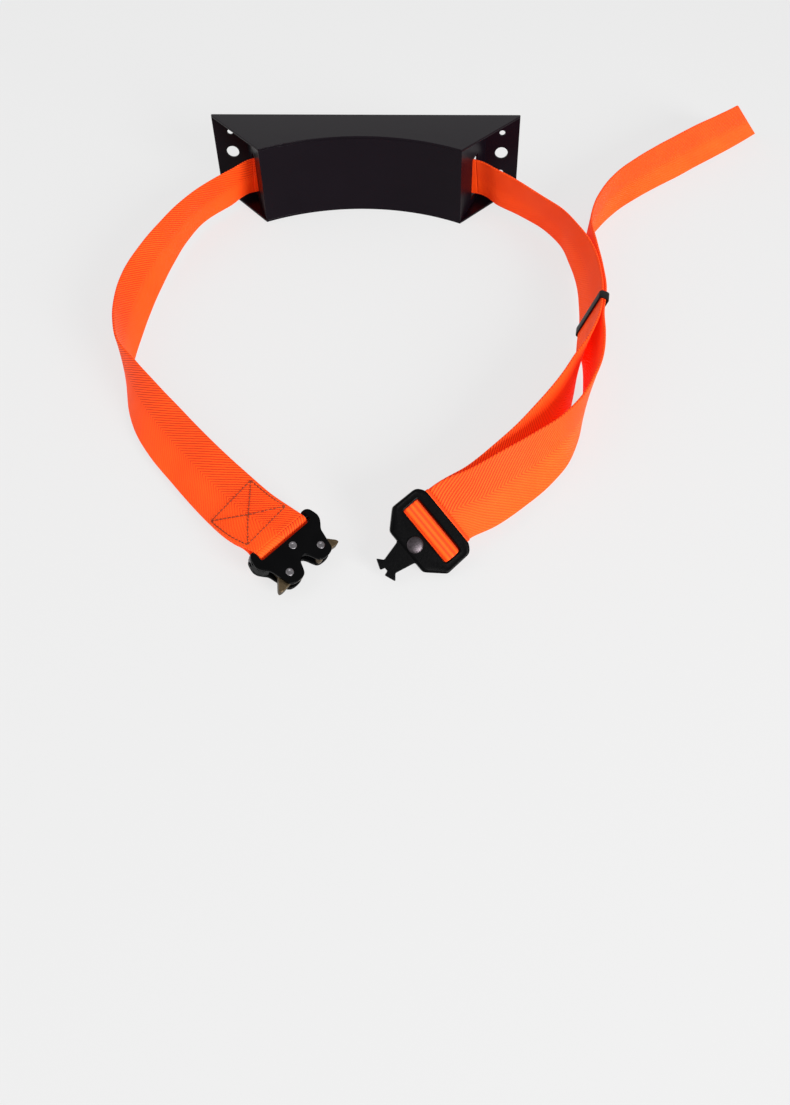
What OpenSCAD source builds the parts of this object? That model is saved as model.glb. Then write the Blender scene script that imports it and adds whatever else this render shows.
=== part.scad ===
// Wall bracket for a gas cylinder, with a webbing strap, a quick-release
// buckle, an adjuster and a keeper. Millimetres. X right, Y into the wall,
// Z up. The origin is midway between the two wall bolts, on the wall plane.

/* [Bracket] */
// Width of the bracket along the wall
bracket_w = 265; // [220:1:320]
// Height of the bracket
bracket_h = 70; // [64:1:90]
// Distance from the wall to the front corners
bracket_d = 60; // [50:1:80]
// Width across the two front corners
front_w = 166; // [140:1:190]
// Depth of the hollow in the cradle front
cradle_dip = 22; // [12:0.5:26]
// Thickness of the steel sheet
sheet_t = 2; // [1.5:0.1:3]
// Distance between the two wall flanges' inner folds
fold_w = 208; // [190:1:214]

/* [Wall holes] */
// Spacing of the wall bolts
bolt_spacing = 236; // [230:1:244]
// Diameter of each wall bolt hole
bolt_hole_d = 11; // [6:0.5:14]
// Height between the two screw holes of a flange
screw_pitch = 38; // [30:1:44]
// Diameter of each screw hole
screw_hole_d = 5; // [4:0.5:8]

/* [Strap] */
// Width of the webbing
web_w = 38; // [34:0.5:38.5]
// Thickness of the webbing
web_t = 1.8; // [1.4:0.1:1.9]
// Height of the slots for the webbing
slot_h = 38.6; // [38.4:0.2:46]
// Width of the slots for the webbing
slot_w = 14; // [12:0.5:16]
// Length of the stitched box
box_len = 33; // [26:1:36]
// Width of a stitch line
thread_w = 0.8; // [0.5:0.1:1.2]
// Height of a stitch line above the webbing
thread_h = 0.4; // [0.2:0.1:0.6]

/* [Keeper] */
// Length of the keeper along the webbing
keeper_len = 8; // [5:0.5:10]
// Wall of the keeper
keeper_wall = 1.2; // [1:0.1:1.6]
// Gap round the webbing inside the keeper
keeper_gap = 0.5; // [0.3:0.1:0.6]

/* [Female buckle] */
// Thickness of the upper and lower plates
plate_t = 2.5; // [2:0.1:2.8]
// Thickness of the core between the plates
core_t = 6; // [5.6:0.1:6.4]
// Diameter of the rivet shanks
rivet_d = 3.6; // [3:0.1:4]
// Diameter of the rivet heads
rivet_head_d = 4.8; // [4.4:0.1:5.6]
// Height of the rivet heads
rivet_head_h = 0.6; // [0.4:0.1:1]
// Diameter of the webbing bar
web_bar_d = 4.4; // [3.8:0.1:4.6]
// Radial clearance on the pivots
pivot_gap = 0.05; // [0.02:0.01:0.08]
// Clearance over and under each latch
latch_gap = 0.3; // [0.2:0.05:0.5]

/* [Male buckle] */
// Thickness of the frame
frame_t = 5; // [4.6:0.1:5]
// Thickness of the tongue
tongue_t = 3.2; // [2.4:0.1:4]
// Thickness of the adjuster bar
adjuster_d = 4.2; // [3.6:0.1:4.3]
// Width of the adjuster bar
adjuster_w = 6.4; // [5.4:0.1:6.6]
// Gap between a bar and the webbing round it
wrap_gap = 0.2; // [0.2:0.05:0.3]
// Diameter of the domed rivet
dome_d = 10; // [8:0.5:11]

/* [Hidden] */
$fn = 48;
steel = [0.05, 0.05, 0.06];
orange = [0.95, 0.3, 0.06];
thread_red = [0.35, 0.08, 0.04];
black_alloy = [0.04, 0.04, 0.045];
nylon = [0.03, 0.03, 0.035];
bronze = [0.33, 0.27, 0.17];
bare_steel = [0.6, 0.6, 0.62];

base_z = -bracket_h / 2;
front_x = front_w / 2;
arc_r = (front_x * front_x + cradle_dip * cradle_dip) / (2 * cradle_dip);
arc_y = cradle_dip - bracket_d - arc_r;
fold_x = fold_w / 2;
wall_run = bracket_d - sheet_t;
wall_in = fold_x - front_x;
wall_angle = atan2(wall_in, wall_run);
slot_share = 0.57;
slot_x = front_x + wall_in * slot_share;
slot_y = -bracket_d + wall_run * slot_share;
slot_z = base_z + 6.9 + slot_h / 2;
bead = 1.6;
side_skin = sheet_t / cos(wall_angle);

stack_t = 2 * plate_t + core_t;
female_at = [-8.5, -429.5, base_z + 15.5];
female_turn = [0, 22.5, -38];
pivot_a = 4.2;
pivot_b = 12.8;
rear_rivet_a = -6.4;
web_bar_a = -15.8;
web_bar_z = -stack_t / 2;
web_bar_len = 47;
loop_r = web_bar_d / 2 + wrap_gap;

male_at = [57.8, -422.6, base_z + 17];
male_turn = [-36.5, 17, 220];
window_rear = -19;
window_front = -7.2;
window_half = 19.6;
adjuster_a = -12.9;
adjuster_z = -frame_t / 2;
adjuster_len = 49;
wrap_r = adjuster_d / 2 + wrap_gap;
wrap_end = -28;
adjuster_flat = (adjuster_w - adjuster_d) / 2;
main_under = -8.6;
return_under = -6.3;
pocket_gap = 0.15;

keeper_at = [177.7, -210, base_z + 21.8];
keeper_head = 261;
keeper_lean = 70;
layer_step = web_t + 0.6;

// Rows are x, y, height above the floor and lean of the webbing in degrees.
main_rows = [
    [-43, -404, 18.5, 168],
    [-65, -382, 16, 152],
    [-86, -360, 16.5, 143],
    [-106, -338, 17.5, 139],
    [-124, -316, 19, 127],
    [-140, -292, 20, 109],
    [-153, -267, 19.5, 90],
    [-159, -239, 19.5, 76],
    [-162, -210, 19.5, 67],
    [-162, -182, 20, 65],
    [-158, -153, 21.5, 72],
    [-152, -125, 23, 82],
    [-144, -98, 24.5, 91],
    [-132, -71, 25.3, 99],
    [-114.5, -47, 25.3, 100],
    [-97, -27, 26.1, 103],
    [-62, -20, 25.4, 92],
    [0, -19, 25.4, 90],
    [62, -20, 25.4, 92],
    [97, -27, 26.1, 102],
    [114.5, -43, 25.3, 98],
    [133, -60.5, 25, 101],
    [150, -80, 24.5, 103],
    [164, -101, 24, 96],
    [172.5, -125, 23.5, 86],
    [178.5, -149, 22.5, 77],
    [180, -175, 22, 72],
    [179, -200, 21.8, 70],
    [175, -225, 21.6, 70],
    [169, -250, 20.5, 79],
    [161, -274, 19.5, 92],
    [152, -298, 19.5, 102],
    [141, -321, 19, 114],
    [128, -343, 18, 124],
    [113, -363, 17.5, 132],
    [97, -382, 18, 138]
];
tail_rows = [
    [382, 121, 19.8, 101],
    [360, 100, 19.8, 101],
    [338, 78, 19.9, 101],
    [316, 58, 20, 102],
    [295, 40, 20, 104],
    [274, 21, 19.5, 104],
    [253, 2, 19.5, 101],
    [233, -18, 19.5, 98],
    [215, -39, 19.5, 95],
    [200, -63, 19.5, 91],
    [189, -88, 20, 86],
    [183, -116, 21, 84],
    [182.2, -146, 22.3, 78]
];
return_rows = [
    [176.5, -249, 20.3, 73],
    [174, -272, 19.5, 76],
    [168.5, -295, 19.5, 83],
    [161, -317, 20, 92],
    [149.5, -338, 20.5, 104],
    [134, -356, 21, 117],
    [117, -372, 21.5, 128],
    [98, -388, 21.5, 138]
];
left_slot_row = 17;
right_slot_row = 21;
keeper_main_row = 29;
keeper_tail_row = 14;
cut_rows = 1;
row_pitch = 29;
web_steps = 4;
join = 0.012;
sew_row = 1.4;
flap_rows = 1.3;

function turn_x(v, t) = [v.x, v.y * cos(t) - v.z * sin(t), v.y * sin(t) + v.z * cos(t)];
function turn_y(v, t) = [v.x * cos(t) + v.z * sin(t), v.y, v.z * cos(t) - v.x * sin(t)];
function turn_z(v, t) = [v.x * cos(t) - v.y * sin(t), v.x * sin(t) + v.y * cos(t), v.z];
function turned(v, t) = turn_z(turn_y(turn_x(v, t.x), t.y), t.z);
function male_point(p) = male_at + turned(p, male_turn);
function female_point(p) = female_at + turned(p, female_turn);
function raised(rows) = [for (r = rows) [r[0], r[1], base_z + r[2], r[3]]];
bar_forward = [cos(female_turn.z), sin(female_turn.z), 0];
male_forward = turned([1, 0, 0], male_turn);
function male_row(a, z) = let (p = male_point([a, 0, z])) [p.x, p.y, p.z, 180 + male_turn.x];
function bar_row(a, z) =
    let (p = female_point([web_bar_a, 0, web_bar_z]) + a * bar_forward)
    [p.x, p.y, p.z + z, 180];
// The row past an end, so that the webbing arrives there along the given direction.
function steer(row, dir) =
    [row[0] + 50 * dir.x, row[1] + 50 * dir.y, base_z + row[2] + 50 * dir.z, row[3]];

function unit(v) = v / norm(v);
function blend_row(p, q, r, s, t) =
    0.5 * (2 * q + (r - p) * t + (2 * p - 5 * q + 4 * r - s) * t * t
    + (3 * q - p - 3 * r + s) * t * t * t);
function row_at(route, u) =
    let (i = min(max(floor(u), 1), len(route) - 3))
    blend_row(route[i - 1], route[i], route[i + 1], route[i + 2], u - i);
function heading_at(route, u) =
    let (a = row_at(route, u - 0.02), b = row_at(route, u + 0.02))
    unit([b[0] - a[0], b[1] - a[1], b[2] - a[2]]);
function side_of(h) = unit([-h.y, h.x, 0]);
function width_dir(route, u) =
    let (h = heading_at(route, u), s = side_of(h), r = row_at(route, u))
    s * cos(r[3]) + cross(h, s) * sin(r[3]);
// A point of the webbing: v across it, n off its face.
function web_point(route, u, v, n) =
    let (h = heading_at(route, u), w = width_dir(route, u), r = row_at(route, u))
    [r[0], r[1], r[2]] + w * v + cross(h, w) * n;

layer_drop = loop_r + web_t / 2;
main_route = concat(
    [steer(main_rows[0], bar_forward), bar_row(0, layer_drop)], raised(main_rows),
    [male_row(wrap_end, main_under), steer(main_rows[len(main_rows) - 1], male_forward)]);
function outside(i) =
    let (p = web_point(main_route, i, 0, -layer_step), r = row_at(main_route, i))
    [p.x, p.y, p.z, r[3]];
outer_route = concat(
    raised(tail_rows), [for (i = [-1 : 1]) outside(keeper_main_row + i)], raised(return_rows),
    [male_row(wrap_end, return_under), steer(return_rows[len(return_rows) - 1], male_forward)]);
function under(u) =
    let (p = web_point(main_route, u, 0, web_t + 0.4), r = row_at(main_route, u))
    [p.x, p.y, p.z, r[3]];
flap_route = concat(
    [bar_row(7, -layer_drop), bar_row(0, -layer_drop), bar_row(-7, 0.3 - layer_drop)],
    [for (f = [0.5 : 0.25 : 0.5 + flap_rows]) under(1 + f)]);
main_last = len(main_route) - 2;
outer_last = len(outer_route) - 2;

// Faces of a tube whose rings of points have the given number of sides.
function tube_faces(rings, sides) = concat(
    [[for (k = [sides - 1 : -1 : 0]) k]],
    [for (i = [0 : rings - 2], k = [0 : sides - 1], half = [0, 1])
        let (a = sides * i + k, b = sides * i + (k + 1) % sides)
        half == 0 ? [a, b, b + sides] : [a, b + sides, a + sides]],
    [[for (k = [0 : sides - 1]) sides * (rings - 1) + k]]
);
// Webbing from row u0 to row u1. Its first end is cut at a slant over slant rows.
module ribbon(route, u0, u1, slant = 0) {
    rings = round((u1 - u0) * web_steps) + 1;
    points = [for (i = [0 : rings - 1], c = [[-1, -1], [-1, 1], [1, 1], [1, -1]])
        let (f = i / (rings - 1), late = c[0] > 0 ? slant * max(0, 1 - 2 * f) : 0)
        web_point(route, u0 + (u1 - u0) * f + late, c[0] * web_w / 2, c[1] * web_t / 2)];
    polyhedron(points, tube_faces(rings, 4), convexity = 6);
}

module on_female() {
    translate(female_at) rotate(female_turn) children();
}
module on_male() {
    translate(male_at) rotate(male_turn) children();
}

// Bracket
module plate_plan() {
    difference() {
        polygon([
            [-bracket_w / 2, 0], [bracket_w / 2, 0],
            [bracket_w / 2, -sheet_t], [front_x, -bracket_d],
            [-front_x, -bracket_d], [-bracket_w / 2, -sheet_t]
        ]);
        translate([0, arc_y]) circle(r = arc_r);
    }
}
module band_plan() {
    back = fold_x - side_skin + (sheet_t + 1) * tan(wall_angle);
    front = front_x - side_skin;
    difference() {
        polygon([
            [-bracket_w / 2, 0], [bracket_w / 2, 0], [bracket_w / 2, -sheet_t],
            [fold_x, -sheet_t], [front_x, -bracket_d], [-front_x, -bracket_d],
            [-fold_x, -sheet_t], [-bracket_w / 2, -sheet_t]
        ]);
        translate([0, arc_y]) circle(r = arc_r);
        difference() {
            polygon([[-back, 1], [back, 1], [front, -bracket_d], [-front, -bracket_d]]);
            translate([0, arc_y]) circle(r = arc_r + sheet_t);
        }
    }
}
module wall_hole(x, z, d) {
    translate([x, 1, z]) rotate([90, 0, 0]) cylinder(d = d, h = sheet_t + 2);
}
module bent_band() {
    color(steel) difference() {
        translate([0, 0, base_z + sheet_t])
            linear_extrude(height = bracket_h - 2 * sheet_t) band_plan();
        for (side = [-1, 1]) {
            wall_hole(side * bolt_spacing / 2, 0, bolt_hole_d);
            wall_hole(side * bolt_spacing / 2, screw_pitch / 2, screw_hole_d);
            wall_hole(side * bolt_spacing / 2, -screw_pitch / 2, screw_hole_d);
            translate([side * slot_x, slot_y, slot_z])
                rotate([0, 0, -side * wall_angle])
                    cube([12, slot_w, slot_h], center = true);
        }
    }
}
module top_plate() {
    color(steel) translate([0, 0, -base_z - sheet_t])
        linear_extrude(height = sheet_t) plate_plan();
}
module bottom_plate() {
    color(steel) translate([0, 0, base_z])
        linear_extrude(height = sheet_t) plate_plan();
}
module bead_ring(z, up) {
    sweep = 2 * asin((front_x - 8) / arc_r);
    translate([0, arc_y, z]) rotate([0, 0, 90 - sweep / 2])
        rotate_extrude(angle = sweep)
            polygon([
                [arc_r + sheet_t, 0], [arc_r + sheet_t + bead, 0],
                [arc_r + sheet_t, up * bead]
            ]);
}
module weld_beads() {
    color(steel) {
        bead_ring(-base_z - sheet_t, -1);
        bead_ring(base_z + sheet_t, 1);
    }
}

// Strap
module strap_left_run() {
    color(orange) ribbon(main_route, 1 + join, left_slot_row);
}
module strap_bracket_run() {
    color(orange) ribbon(main_route, left_slot_row + join, right_slot_row - join);
}
module strap_right_run() {
    color(orange) ribbon(main_route, right_slot_row, main_last - join);
}
module strap_return_run() {
    color(orange) ribbon(outer_route, keeper_tail_row, outer_last - join);
}
module strap_tail() {
    color(orange) ribbon(outer_route, 1, keeper_tail_row - join, cut_rows);
}
module strap_flap() {
    color(orange) ribbon(flap_route, 1 + join * 4, len(flap_route) - 2);
}
// The loop turns round the front of the webbing bar.
module strap_loop() {
    color(orange) translate(female_point([web_bar_a, 0, web_bar_z]))
        rotate([0, 0, female_turn.z]) translate([0, web_w / 2, 0]) rotate([90, 0, 0])
            linear_extrude(height = web_w)
                intersection() {
                    difference() {
                        circle(r = loop_r + web_t);
                        circle(r = loop_r);
                    }
                    translate([0, -10]) square([10, 20]);
                }
}
function stroke(line, width) =
    let (n = len(line), sides = [for (i = [0 : n - 1])
        let (d = unit(line[min(i + 1, n - 1)] - line[max(i - 1, 0)])) [-d.y, d.x] * width / 2])
    concat(
        [for (i = [0 : n - 1]) line[i] + sides[i]],
        [for (i = [n - 1 : -1 : 0]) line[i] - sides[i]]);
// The adjusting turn: up round the adjuster bar and back under the frame.
module strap_wrap() {
    r = wrap_r + web_t / 2;
    turn = [for (half = [[-90, 90, 1], [90, 180, -1]], t = [half[0] : 10 : half[1]])
        [adjuster_a + half[2] * adjuster_flat + r * cos(t), adjuster_z + r * sin(t)]];
    line = concat(
        [[wrap_end + 0.3, main_under], [-20, main_under], [-18, -8.4], [-16, -7.3], [-14, -6.2]],
        turn,
        [[-17.6, -4.6], [-18.4, -5.8], [-19.7, return_under],
        [wrap_end + 0.3, return_under]]);
    color(orange) on_male() translate([0, web_w / 2, 0]) rotate([90, 0, 0])
        linear_extrude(height = web_w) polygon(stroke(line, web_t));
}
module thread(u0, v0, u1, v1) {
    rings = 9;
    d = unit([(u1 - u0) * row_pitch, v1 - v0]);
    low = -web_t / 2 - 0.05 - thread_h;
    points = [for (i = [0 : rings - 1], c = [[-1, 0], [-1, 1], [1, 1], [1, 0]])
        let (f = i / (rings - 1), k = c[0] * thread_w / 2)
        web_point(main_route, u0 + (u1 - u0) * f - d.y * k / row_pitch,
            v0 + (v1 - v0) * f + d.x * k, low + c[1] * thread_h)];
    polyhedron(points, tube_faces(rings, 4), convexity = 4);
}
module box_stitching() {
    v = web_w / 2 - 2;
    u0 = sew_row;
    u1 = sew_row + box_len / row_pitch;
    inset = 0.05;
    color(thread_red) {
        thread(u0, -v, u1, -v);
        thread(u0, v, u1, v);
        thread(u0 + inset, 1 - v, u0 + inset, v - 1);
        thread(u1 - inset, 1 - v, u1 - inset, v - 1);
        thread(u0 + 2 * inset, 2 - v, u1 - 2 * inset, v - 2);
        thread(u0 + 2 * inset, v - 2, u1 - 2 * inset, 2 - v);
    }
}
module keeper() {
    high = layer_step + web_t + 2 * keeper_gap;
    wide = web_w + 2 * keeper_gap;
    color(nylon) translate(keeper_at) rotate([keeper_lean, 0, keeper_head])
        translate([0, 0, -layer_step / 2])
            difference() {
                cube([keeper_len, wide + 2 * keeper_wall, high + 2 * keeper_wall], center = true);
                cube([keeper_len + 2, wide, high], center = true);
            }
}

// Female buckle
function both_sides(half) = concat(half,
    [for (i = [len(half) - 1 : -1 : 0]) if (half[i].y > 0) [half[i].x, -half[i].y]]);
plate_half = [
    [-11.3, 20], [-18.6, 20], [-18.6, 21.6], [-17.2, 23.8], [-14.3, 24.8], [-11, 25.4], [-8, 24.5],
    [-5.5, 22.5], [-3, 20.2], [1, 19.3], [3, 18.8], [9, 17.5], [10.8, 15.5], [11.5, 12.5],
    [11.3, 8.5], [10.3, 6.3], [7.5, 4.8], [4.5, 3.6], [2.4, 2], [1.8, 0]
];
core_half = [
    [-11.3, 20], [-19, 20], [-19, 21.6], [-16.8, 23.8], [-13.8, 25.2], [-9, 24.9], [-6, 23],
    [-4, 20.5], [-4.5, 18], [-6, 17], [-6, 10.3], [-0.3, 10.3], [-0.3, 8.9], [-3.8, 8.9],
    [-3.8, 0]
];
latch_plan = [
    [-4, 15], [0.6, 12.4], [3.2, 8.9], [8, 6.4], [10.8, 6.8], [11, 9.2], [9, 12], [9.2, 16.5],
    [9.8, 22], [9.2, 24.2], [7.4, 23.8], [2.5, 19.4], [0.5, 17.8], [-4, 17.8]
];
module rivet_holes() {
    for (p = [[pivot_a, pivot_b], [pivot_a, -pivot_b], [rear_rivet_a, 0]])
        translate([p.x, p.y, -20]) cylinder(r = rivet_d / 2 + pivot_gap, h = 40);
}
module across(a, z, r, len) {
    translate([a, len / 2, z]) rotate([90, 0, 0]) cylinder(r = r, h = len);
}
module female_plate(z) {
    color(black_alloy) on_female() difference() {
        translate([0, 0, z]) linear_extrude(height = plate_t) polygon(both_sides(plate_half));
        rivet_holes();
    }
}
module female_top_plate() {
    female_plate(-plate_t);
}
module female_bottom_plate() {
    female_plate(-stack_t);
}
module female_core() {
    color(black_alloy) on_female() difference() {
        translate([0, 0, -plate_t - core_t])
            linear_extrude(height = core_t) polygon(both_sides(core_half));
        rivet_holes();
        across(web_bar_a, web_bar_z, web_bar_d / 2 + pivot_gap, 60);
    }
}
module latch(side) {
    color(bronze) on_female() scale([1, side, 1]) difference() {
        translate([0, 0, latch_gap - plate_t - core_t])
            linear_extrude(height = core_t - 2 * latch_gap) polygon(latch_plan);
        translate([pivot_a, pivot_b, -20]) cylinder(r = rivet_d / 2 + pivot_gap, h = 40);
    }
}
module latch_left() {
    latch(1);
}
module latch_right() {
    latch(-1);
}
module coil(side) {
    turns = 3.5;
    wire = 0.25;
    sides = 6;
    rings = 43;
    points = [for (i = [0 : rings - 1], k = [0 : sides - 1])
        let (f = i / (rings - 1), t = f * turns * 360, e = -k * 360 / sides,
            r = 1.4 + wire * cos(e))
        [r * cos(t), r * sin(t), 0.3 + f * 2.6 + wire * sin(e)]];
    color(bare_steel) on_female() scale([1, side, 1]) translate([-2.2, 10.4, web_bar_z])
        rotate([-90, 0, 0]) polyhedron(points, tube_faces(rings, sides), convexity = 8);
}
module latch_spring_left() {
    coil(1);
}
module latch_spring_right() {
    coil(-1);
}
module rivet(a, b) {
    color(bare_steel) on_female() translate([a, b, 0]) rotate_extrude()
        polygon([
            [0, -stack_t - rivet_head_h], [rivet_head_d / 2 - 0.3, -stack_t - rivet_head_h],
            [rivet_head_d / 2, -stack_t - 0.2], [rivet_head_d / 2, -stack_t],
            [rivet_d / 2, -stack_t], [rivet_d / 2, 0], [rivet_head_d / 2, 0],
            [rivet_head_d / 2, 0.2], [rivet_head_d / 2 - 0.3, rivet_head_h], [0, rivet_head_h]
        ]);
}
module pivot_rivet_left() {
    rivet(pivot_a, pivot_b);
}
module pivot_rivet_right() {
    rivet(pivot_a, -pivot_b);
}
module rear_rivet() {
    rivet(rear_rivet_a, 0);
}
module webbing_bar() {
    color(bare_steel) on_female() across(web_bar_a, web_bar_z, web_bar_d / 2, web_bar_len);
}

// Male buckle
frame_half = [
    [-25.5, 19], [-24.8, 21], [-23, 23.5], [-21, 24.8], [-4.5, 25.2], [-3, 24], [5.5, 16],
    [6.2, 14.5]
];
tongue_half = [
    [-5.8, 8.8], [6.2, 8.8], [7, 7.8], [19, 5], [21.7, 8.2], [22.2, 8.2], [24.5, 2],
    [21.7, 1.2], [21.7, 0]
];
module adjuster_shape(gap, len) {
    translate([adjuster_a, len / 2, adjuster_z]) rotate([90, 0, 0]) linear_extrude(height = len) {
        for (side = [-1, 1]) translate([side * adjuster_flat, 0]) circle(r = adjuster_d / 2 + gap);
        square([2 * adjuster_flat, adjuster_d + 2 * gap], center = true);
    }
}
module male_frame() {
    color(black_alloy) on_male() difference() {
        translate([0, 0, -frame_t])
            linear_extrude(height = frame_t)
                difference() {
                    polygon(both_sides(frame_half));
                    translate([window_rear, -window_half])
                        square([window_front - window_rear, 2 * window_half]);
                }
        adjuster_shape(pivot_gap, 60);
        translate([-6.1, -9.1, -frame_t / 2 - tongue_t / 2 - pocket_gap])
            cube([20, 18.2, tongue_t + 2 * pocket_gap]);
        translate([0, 0, -20]) cylinder(r = 2.5 + pivot_gap, h = 40);
    }
}
module tongue_plate() {
    color(black_alloy) on_male() difference() {
        translate([0, 0, -frame_t / 2 - tongue_t / 2])
            linear_extrude(height = tongue_t) polygon(both_sides(tongue_half));
        translate([0, 0, -20]) cylinder(r = 2.5 + pivot_gap, h = 40);
    }
}
module tongue_rivet() {
    dome_h = 1.6;
    dome_r = (dome_d * dome_d / 4 + dome_h * dome_h) / (2 * dome_h);
    color(bare_steel) on_male() rotate_extrude() {
        intersection() {
            translate([0, dome_h - dome_r]) circle(r = dome_r);
            square([dome_d / 2, dome_h]);
        }
        translate([0, -frame_t - 0.5]) square([2.5, frame_t + 0.6]);
        translate([0, -frame_t - 0.8]) square([3.8, 0.8]);
    }
}
module adjuster_bar() {
    color(bare_steel) on_male() adjuster_shape(0, adjuster_len);
}

bent_band();
top_plate();
bottom_plate();
weld_beads();
strap_left_run();
strap_bracket_run();
strap_right_run();
strap_return_run();
strap_tail();
strap_loop();
strap_flap();
strap_wrap();
box_stitching();
keeper();
female_top_plate();
female_bottom_plate();
female_core();
latch_left();
latch_right();
latch_spring_left();
latch_spring_right();
pivot_rivet_left();
pivot_rivet_right();
rear_rivet();
webbing_bar();
male_frame();
tongue_plate();
tongue_rivet();
adjuster_bar();
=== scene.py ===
"""Wall bracket for a gas cylinder: a black powder-coated steel cradle, an orange
webbing strap, a side-latch buckle, its adjuster half and a keeper. Metres."""
import math

import bmesh
import bpy
import numpy as np
from mathutils import Matrix, Vector


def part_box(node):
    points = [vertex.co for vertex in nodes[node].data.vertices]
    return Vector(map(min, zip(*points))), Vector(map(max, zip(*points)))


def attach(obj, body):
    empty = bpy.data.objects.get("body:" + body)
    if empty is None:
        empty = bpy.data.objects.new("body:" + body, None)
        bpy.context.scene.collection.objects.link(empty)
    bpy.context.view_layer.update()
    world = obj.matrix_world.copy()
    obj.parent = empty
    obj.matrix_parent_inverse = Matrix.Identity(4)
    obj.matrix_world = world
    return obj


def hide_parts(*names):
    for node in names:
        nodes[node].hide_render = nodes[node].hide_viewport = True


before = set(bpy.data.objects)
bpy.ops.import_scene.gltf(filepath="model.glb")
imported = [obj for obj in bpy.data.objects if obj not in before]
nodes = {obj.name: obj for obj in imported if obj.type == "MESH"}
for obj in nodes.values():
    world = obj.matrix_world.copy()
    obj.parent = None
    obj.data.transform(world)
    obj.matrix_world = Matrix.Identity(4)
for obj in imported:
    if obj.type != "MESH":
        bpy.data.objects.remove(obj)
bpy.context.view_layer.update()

# ---------------------------------------------------------------------------
# Camera, floor and studio. The floor is a plain pale table that the bracket
# stands on; three soft lamps and a dim white room light the object.
# ---------------------------------------------------------------------------
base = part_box("bottom_plate")[0][2]
table_z = base - 0.0003
eye = Vector((0.0751, -0.7912, 0.4420))
yaw, pitch, roll = math.radians(-4.095), math.radians(43.028), math.radians(-1.770)
ahead = Vector((math.sin(yaw) * math.cos(pitch), math.cos(yaw) * math.cos(pitch),
                -math.sin(pitch)))
level = Vector((math.cos(yaw), -math.sin(yaw), 0.0))
above = level.cross(ahead)
across = level * math.cos(roll) + above * math.sin(roll)
upward = above * math.cos(roll) - level * math.sin(roll)
lens = bpy.data.cameras.new("camera")
lens.lens = 32.746
lens.sensor_width = 36.0
lens.shift_y = -0.138
lens.clip_end = 50.0
camera = bpy.data.objects.new("camera", lens)
camera.matrix_world = Matrix((
    (across.x, upward.x, -ahead.x, eye.x),
    (across.y, upward.y, -ahead.y, eye.y),
    (across.z, upward.z, -ahead.z, eye.z),
    (0.0, 0.0, 0.0, 1.0)))
bpy.context.scene.collection.objects.link(camera)
bpy.context.scene.camera = camera
bpy.context.scene.view_settings.view_transform = "Standard"


def new_material(name):
    """A new node material, with its node tree and its Principled shader."""
    material = bpy.data.materials.new(name)
    material.use_nodes = True
    tree = material.node_tree
    return material, tree, tree.nodes["Principled BSDF"]


def wire(tree, kind, sets=None, links=None, **props):
    """One shader node of a kind, with its properties, its fixed inputs and its incoming links."""
    node = tree.nodes.new(kind)
    for key, value in props.items():
        setattr(node, key, value)
    for key, value in (sets or {}).items():
        node.inputs[key].default_value = value
    for key, source in (links or {}).items():
        tree.links.new(source, node.inputs[key])
    return node


def math_node(tree, operation, a, b=None, c=None):
    """A Math node; a number is set on its socket and a socket is linked to it."""
    node = tree.nodes.new("ShaderNodeMath")
    node.operation = operation
    for slot_number, value in enumerate((a, b, c)):
        if value is None:
            continue
        if isinstance(value, (int, float)):
            node.inputs[slot_number].default_value = value
        else:
            tree.links.new(value, node.inputs[slot_number])
    return node.outputs[0]


def mixed(tree, factor, dark, light):
    """A colour between two, by a factor socket; either may be a socket itself."""
    node = tree.nodes.new("ShaderNodeMix")
    node.data_type = "RGBA"
    tree.links.new(factor, node.inputs[0])
    for socket, value in ((node.inputs[6], dark), (node.inputs[7], light)):
        if isinstance(value, tuple):
            socket.default_value = value
        else:
            tree.links.new(value, socket)
    return node.outputs[2]


pale = (0.862, 0.862, 0.862, 1.0)
reach = 8
floor_mesh = bpy.data.meshes.new("floor")
floor_mesh.from_pydata([(-reach, -reach, table_z), (reach, -reach, table_z),
                        (reach, reach, table_z), (-reach, reach, table_z)], [], [(0, 1, 2, 3)])
floor = bpy.data.objects.new("floor", floor_mesh)
bpy.context.scene.collection.objects.link(floor)
floor_paint, tree, shader = new_material("floor_paint")
shader.inputs["Base Color"].default_value = (0.8, 0.8, 0.8, 1.0)
shader.inputs["Roughness"].default_value = 0.9
shader.inputs["Specular IOR Level"].default_value = 0.1
glow = wire(tree, "ShaderNodeEmission", {"Color": pale, "Strength": 0.985})


def plain_view(tree):
    """1 for the camera's rays and for those that metal and glass send on, else 0."""
    path = wire(tree, "ShaderNodeLightPath")
    either = math_node(tree, "MAXIMUM", path.outputs["Is Camera Ray"],
                       path.outputs["Is Glossy Ray"])
    return math_node(tree, "MAXIMUM", either, path.outputs["Is Transmission Ray"])


share = math_node(tree, "MULTIPLY", plain_view(tree), 0.85)
blend = wire(tree, "ShaderNodeMixShader",
             links={0: share, 1: shader.outputs[0], 2: glow.outputs[0]})
tree.links.new(blend.outputs[0], tree.nodes["Material Output"].inputs["Surface"])
floor_mesh.materials.append(floor_paint)

world = bpy.data.worlds.new("room")
bpy.context.scene.world = world
world.use_nodes = True
tree = world.node_tree
strength = math_node(tree, "MULTIPLY_ADD", plain_view(tree), 0.45, 0.55)
room = tree.nodes["Background"]
room.inputs["Color"].default_value = pale
tree.links.new(strength, room.inputs["Strength"])


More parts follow.
